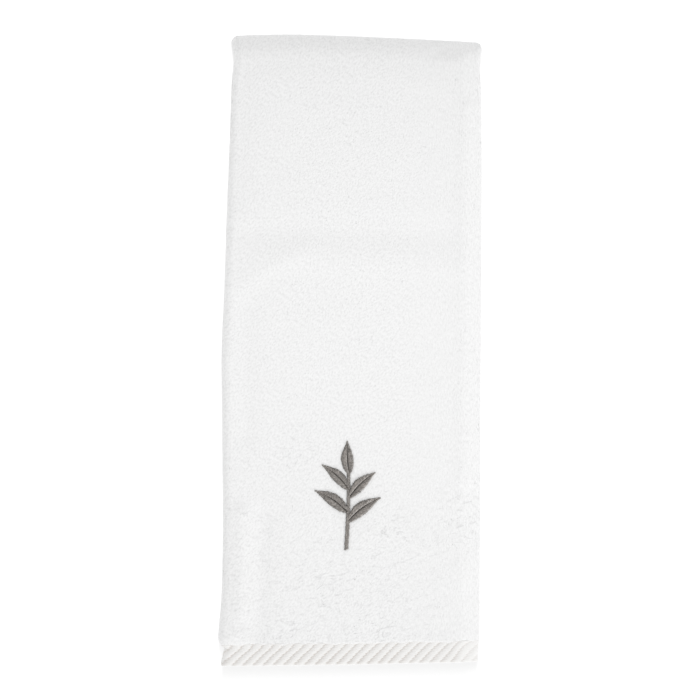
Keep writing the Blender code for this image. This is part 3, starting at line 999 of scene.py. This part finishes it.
def make_border(name, front, spacing):
    """A border as a closed strip: its face, the round of its hem, its back, and an end under the pile."""
    top = BORDER_DEPTH + FACE_TUCK
    face_rows = numpy.linspace(top, HEM_REACH, round((top - HEM_REACH) / spacing))
    round_turns = numpy.linspace(0, math.pi, 9)[1:-1]
    back_rows = numpy.linspace(HEM_REACH, top, 6)
    from_end = numpy.concatenate([face_rows, HEM_REACH - HEM_REACH * numpy.sin(round_turns), back_rows])
    lift = numpy.concatenate([
        numpy.full(len(face_rows), BORDER_HALF),
        BORDER_HALF * numpy.cos(round_turns),
        numpy.full(len(back_rows), -BORDER_HALF),
    ])
    lift[0] = 0.0
    lift[-1] = -0.3 * BORDER_HALF
    on_face = numpy.zeros(len(from_end))
    on_face[1:len(face_rows)] = 1.0
    columns = lines([
        (0.0, 0.008),
        (TIGHT_START - 0.012, 0.002),
        (TIGHT_START - 0.002, spacing),
        (WIDE_END + 0.002, 0.002),
        (WIDE_END + 0.012, 0.008),
    ], TOWEL_WIDTH)
    across, end = numpy.meshgrid(columns, from_end)
    off = numpy.broadcast_to(lift[:, None], across.shape)
    ribbed = numpy.broadcast_to(on_face[:, None], across.shape)
    along = end if front else TOWEL_LENGTH - end
    panel_x = PANEL_RIGHT + TIGHT_END - across
    off = off + rib_relief(panel_x, end) * ribbed
    facing = lie_of_cloth(across, along)[2]
    points = pressed(folded(across, along) + facing * off[..., None] + SETTLED)
    rows = len(from_end)
    wide = len(columns)
    faces = grid_faces(wide, rows).tolist()
    last = (rows - 1) * wide
    faces += [[last + column, column, column + 1, last + column + 1] for column in range(wide - 1)]
    faces.append([row * wide for row in range(rows)])
    faces.append([row * wide + wide - 1 for row in reversed(range(rows))])
    around = numpy.cumsum(numpy.concatenate([[0], numpy.hypot(numpy.diff(from_end), numpy.diff(lift))]))
    flat = numpy.stack([across, numpy.broadcast_to(around[:, None], across.shape)], axis=-1).reshape(-1, 2)
    made = make_mesh(name, points.reshape(-1, 3), faces, flat / TOWEL_WIDTH * 0.95 + 0.02)
    deep = made.data.attributes.new("groove", "FLOAT", "POINT")
    # Painted into the colour: the natural thread's tint with painted shade in each groove, stepped with the
    # weave, and painted shade fading across the left side of each rib
    share = rib_share(panel_x, end)
    step = 1 - SHADE_STEPS + SHADE_STEPS * numpy.cos(math.tau * end / RIB_TOOTH)
    hem = 1 - ease(end / HEM_SHADE_REACH)
    beside = share / (BESIDE_REACH + BESIDE_REACH_HEM * hem)
    beside = numpy.exp(-(beside ** (BESIDE_POWER + BESIDE_POWER_HEM * hem)))
    beside = (BESIDE_SHADE + BESIDE_SHADE_HEM * hem) * beside
    shadow = numpy.maximum((GROOVE_SHADE + GROOVE_SHADE_HEM * hem) * groove(share) * step, beside)
    shadow = shadow * thread_tint_and_shade_shows(panel_x, end)
    deep.data.foreach_set("value", (shadow * ribbed).ravel().astype(numpy.float32))
    face_out(made)
    return made


def border_material():
    """White flat-woven cotton, with natural thread tinting the grooves, and painted shade in the grooves and
    down the left side of each rib.
    """
    material, shader, flat, cotton = cloth_material(
        "border_weave", (0.93, 0.925, 0.915), (0.87, 0.865, 0.855), 1400.0, 0.00012
    )
    tree = material.node_tree
    # The groove mask lays the natural thread's tint and the painted shade over the weave's colour
    tint = mixed(tree, cotton.outputs["Color"], (0.64, 0.59, 0.55, 1), read_mask(tree, "groove"))
    feed(tree, shader, {"Base Color": tint})
    return material


BORDER_FINISH = border_material()
border_front = make_border("border_front", True, RIB_GRID)
border_back = make_border("border_back", False, 0.0007)
for border in (border_front, border_back):
    border.data.materials.append(BORDER_FINISH)
    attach(border, "root")

# ---- The stitched sprig ----
# A plain leaf sprig in satin stitch, of taupe-grey rayon thread, near the lower end of the front. Each leaf
# is two rows of slanting stitches that meet in its middle, over padding. The pile is pressed down under it.

THREAD_WIDTH = 0.00046
STITCH_SPACING = 0.00036
LEAF_RISE = 0.0017
STEM_RISE = 0.0013
STITCH_SLANT = 0.13  # how far a stitch runs on along its leaf, as a share of the leaf's length
RAGGED = 0.00018  # how unevenly the stitches end
THREAD_FLAT = 0.6  # a stitched thread's height, as a share of its width


def one_stitch():
    """One stitch as ring points and faces: a closed thread 1 wide and 1 long along +Z, in 6 lengths."""
    bpy.ops.object.select_all(action="DESELECT")
    bpy.ops.mesh.primitive_cylinder_add(vertices=6, radius=0.5, depth=1.0, location=(0, 0, 0.5))
    thread = bpy.context.active_object
    bpy.ops.object.transform_apply(location=True)
    bpy.ops.object.mode_set(mode="EDIT")
    for height in (1 / 6, 2 / 6, 3 / 6, 4 / 6, 5 / 6):
        bpy.ops.mesh.select_all(action="SELECT")
        bpy.ops.mesh.bisect(plane_co=(0, 0, height), plane_no=(0, 0, 1))
    bpy.ops.mesh.select_all(action="SELECT")
    bpy.ops.mesh.quads_convert_to_tris()
    bpy.ops.object.mode_set(mode="OBJECT")
    return taken_apart(thread)


def leaf_stitches(leaf, draws):
    """Start and end of each stitch of a leaf, on the panel, and the height that it bows to."""
    rows = []
    turn = math.radians(leaf.turn)
    for side in (-1, 1):
        for inner in numpy.arange(0.0, 0.985, STITCH_SPACING / leaf.length):
            outer = inner + STITCH_SLANT * (1 - inner**6) * float(ease(inner / 0.25 + 0.15))
            reach = max(leaf.width * float(half_leaf(outer)) + draws.normal(0, RAGGED), 0.0003)
            ends = []
            for share, aside in ((inner, -0.00010), (outer, reach)):
                aside = aside * side - leaf.bend * 4 * share * (1 - share)
                along = share * leaf.length
                ends += [
                    SPRIG_X + leaf.x + along * math.sin(turn) + aside * math.cos(turn),
                    SPRIG_FOOT + leaf.height + along * math.cos(turn) - aside * math.sin(turn),
                ]
            rows.append((*ends, LEAF_RISE * min(1.0, 0.35 + reach / leaf.width * 1.6)))
    return rows


def stem_stitches(draws):
    """Start and end of each stitch of the stem, and the height that it bows to."""
    rows = []
    for height in numpy.arange(0.0, STEM_TOP, STITCH_SPACING):
        middle = SPRIG_X + float(stem_x(height))
        half = STEM_WIDTH / 2 * (1.25 - 0.45 * height / STEM_TOP) + draws.normal(0, RAGGED)
        rows.append((middle - half, SPRIG_FOOT + height - 0.0004, middle + half, SPRIG_FOOT + height + 0.0004,
                     STEM_RISE))
    return rows


def make_sprig():
    """All stitches of the sprig, each bowed over its padding and diving into the pile at both ends."""
    draws = numpy.random.default_rng(211)
    rows = []
    for leaf in LEAVES:
        rows += leaf_stitches(leaf, draws)
    rows += stem_stitches(draws)
    rows = numpy.array(rows)
    stitch, faces = one_stitch()
    share = stitch[None, :, 2]
    x = rows[:, 0:1] + (rows[:, 2:3] - rows[:, 0:1]) * share
    height = rows[:, 1:2] + (rows[:, 3:4] - rows[:, 1:2]) * share
    bow = numpy.sqrt(numpy.clip(1 - numpy.abs(2 * share - 1) ** 3, 0, 1))
    stray = draws.normal(0, 0.00004, (len(rows), 1))
    lift = rows[:, 4:5] * (0.10 + 0.90 * bow) + stray - 0.00015
    across = TIGHT_END + PANEL_RIGHT - x
    middle = cloth_point(across, height, lift)
    run = numpy.zeros((len(rows), 3))
    run[:, :2] = rows[:, 2:4] - rows[:, 0:2]
    run = unit(run)
    side = numpy.cross(run, [0.0, 0.0, 1.0])[:, None, :]
    width = THREAD_WIDTH * draws.uniform(0.9, 1.1, (len(rows), 1, 1))
    points = middle + width * (
        stitch[None, :, 0:1] * side + stitch[None, :, 1:2] * numpy.array([0.0, 0.0, THREAD_FLAT])
    )
    number = numpy.arange(len(rows))[:, None]
    turn = numpy.arctan2(stitch[:, 1], stitch[:, 0])[None, :] / math.tau + 0.5
    flat = numpy.stack([
        0.02 + 0.96 * numpy.broadcast_to(share, x.shape),
        0.02 + 0.96 * (number + 0.85 * turn) / len(rows),
    ], axis=-1)
    return fast_mesh("sprig", points.reshape(-1, 3), faces, flat.reshape(-1, 2), len(rows))


def thread_material():
    """Taupe-grey rayon thread with a soft shine, and no two stitches quite alike."""
    material, shader, flat, cotton = cloth_material(
        "thread", (0.280, 0.255, 0.233), (0.050, 0.045, 0.041), 1.0, 0.00008, 0.2
    )
    tree = material.node_tree
    feed(tree, shader, {"Roughness": 0.38, "Specular IOR Level": 0.6})
    stretch = feed(tree, tree.nodes.new("ShaderNodeMapping"), {"Vector": flat, "Scale": (4.0, 1300.0, 1.0)})
    feed(tree, cotton, {"Place": stretch.outputs["Vector"]})
    return material


sprig = make_sprig()
sprig.data.materials.append(thread_material())
face_out(sprig)
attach(sprig, "root")

# ---- The floor, the light and the camera ----
# A plain white studio: a white floor that glows a little, as over a light table, an even white surround, and
# four soft lamps, two for the towel, one for the floor and one for the thread. The camera looks straight down
# from far off.

CAMERA_HEIGHT = 2.0
VIEW_WIDTH = 0.3922  # across the picture, at the height of the towel's front
FRONT_HEIGHT = 0.0195
SENSOR = 36.0
FLOOR_GLOW = 0.80
SURROUND = 0.80  # brightness of the white surround


def add_lamp(name, place, aim, size, watts, lit):
    """A soft lamp that lights only these pieces. Its size is how long and how wide it is."""
    run = [there - here for here, there in zip(place, aim)]
    turn = (0, math.acos(-run[2] / math.hypot(*run)), math.atan2(-run[1], -run[0]))
    bpy.ops.object.light_add(type="AREA", location=place, rotation=turn)
    lamp = bpy.context.active_object
    lamp.name = name
    lamp.data.shape = "ELLIPSE"
    lamp.data.size, lamp.data.size_y = size
    lamp.data.energy = watts
    lamp.visible_camera = False
    receivers = bpy.data.collections.new(name + "_lights")
    for piece in lit:
        receivers.objects.link(piece)
    lamp.light_linking.receiver_collection = receivers


bpy.ops.object.select_all(action="DESELECT")
bpy.ops.mesh.primitive_plane_add(size=12.0, location=(0, 0, 0))
floor = bpy.context.active_object
floor.name = "floor"
floor_finish = bpy.data.materials.new("floor_white")
floor_finish.use_nodes = True
feed(floor_finish.node_tree, floor_finish.node_tree.nodes["Principled BSDF"], {
    "Base Color": (0.15, 0.15, 0.15, 1),
    "Roughness": 1.0,
    "Specular IOR Level": 0.0,
    "Emission Color": (1, 1, 1, 1),
    "Emission Strength": FLOOR_GLOW,
})
floor.data.materials.append(floor_finish)

world = bpy.data.worlds.new("surround")
world.use_nodes = True
feed(world.node_tree, world.node_tree.nodes["Background"], {"Color": (1, 1, 1, 1), "Strength": SURROUND})
bpy.context.scene.world = world

cloth = [terry, border_front, border_back, sprig, *piles]
add_lamp("overhead_lamp", (0.035, 0.010, 0.33), (0.035, 0.010, 0.0), (0.30, 0.30), 0.146, cloth)
add_lamp("side_lamp", (1.09, -2.50, 1.27), (0.0, 0.0, 0.0), (1.0, 1.0), 21.9, cloth)
add_lamp("floor_lamp", (0.0, 0.71, 1.70), (0.0, 0.0, 0.0), (1.30, 0.25), 48.3, [floor])
add_lamp("thread_lamp", (2.20, -1.90, 0.80), (0.0, 0.0, 0.0), (0.60, 0.60), 80.0, [sprig])

bpy.ops.object.camera_add(location=(0, 0, FRONT_HEIGHT + CAMERA_HEIGHT), rotation=(0, 0, 0))
camera = bpy.context.active_object
camera.data.sensor_width = SENSOR
camera.data.lens = SENSOR * CAMERA_HEIGHT / VIEW_WIDTH
camera.data.clip_end = 50
bpy.context.scene.camera = camera
bpy.context.scene.view_settings.view_transform = "Standard"
